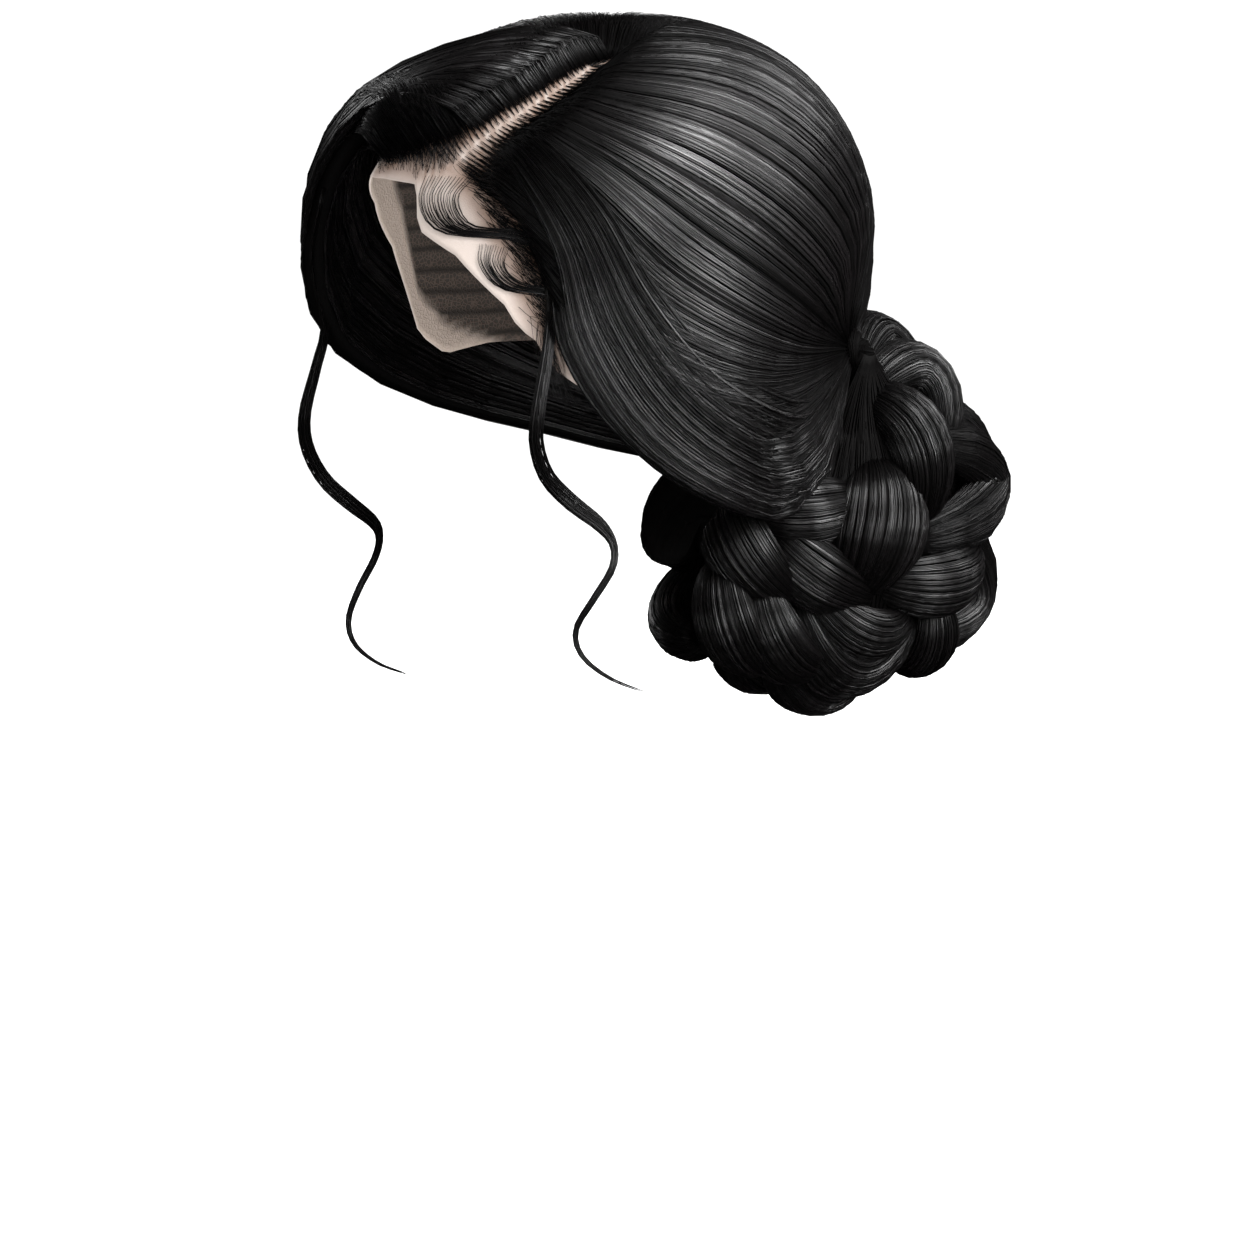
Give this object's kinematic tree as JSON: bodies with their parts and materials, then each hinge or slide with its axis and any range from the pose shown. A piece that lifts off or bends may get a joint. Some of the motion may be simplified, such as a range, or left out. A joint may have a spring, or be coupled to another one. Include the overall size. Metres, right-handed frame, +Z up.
{
  "type": "side-parted wig with a low plaited chignon",
  "caption": "Dressed lace-front wig for a head: side parting, swept side panels, low plaited chignon at the nape and two loose face-framing tendrils.",
  "frame": {"origin": "inside of the cap at the crown, where the top of the wearer's head touches it", "axes": "+Z up along the upright head, -Y towards the face, +X towards the wearer's left"},
  "size_m": [0.1959, 0.2605, 0.2735],
  "materials": {
    "hair": "glossy black hair",
    "lace": "fine lace net",
    "elastic": "covered elastic"
  },
  "bodies": {
    "root": {"lace_cap": "lace", "left_hair_panel": "hair", "right_hair_panel": "hair", "nape_hair_panel": "hair", "hair_tie": "elastic", "chignon_core": "hair", "lock_centre": "hair", "lock_from_band": "hair", "lock_left_middle": "hair", "lock_left_outer": "hair", "lock_right_lower": "hair", "lock_left_upper": "hair", "lock_band_over": "hair", "lock_under_middle": "hair", "lock_band_behind": "hair", "lock_under_long": "hair", "lock_right_upper": "hair", "lock_neck_lower": "hair", "lock_right_tail": "hair", "lock_under_right": "hair", "lock_neck_edge": "hair", "lock_under_edge": "hair", "lock_back_top": "hair", "lock_far_top": "hair", "lock_back_centre": "hair", "lock_back_right": "hair", "lock_far_high": "hair", "lock_far_upper": "hair", "lock_far_neck": "hair", "lock_back_low": "hair", "lock_far_low": "hair", "lock_far_lower": "hair", "lock_far_under": "hair", "lock_back_under": "hair", "lock_far_edge": "hair", "left_tendril": "hair", "right_tendril": "hair"}
  },
  "joints": []
}
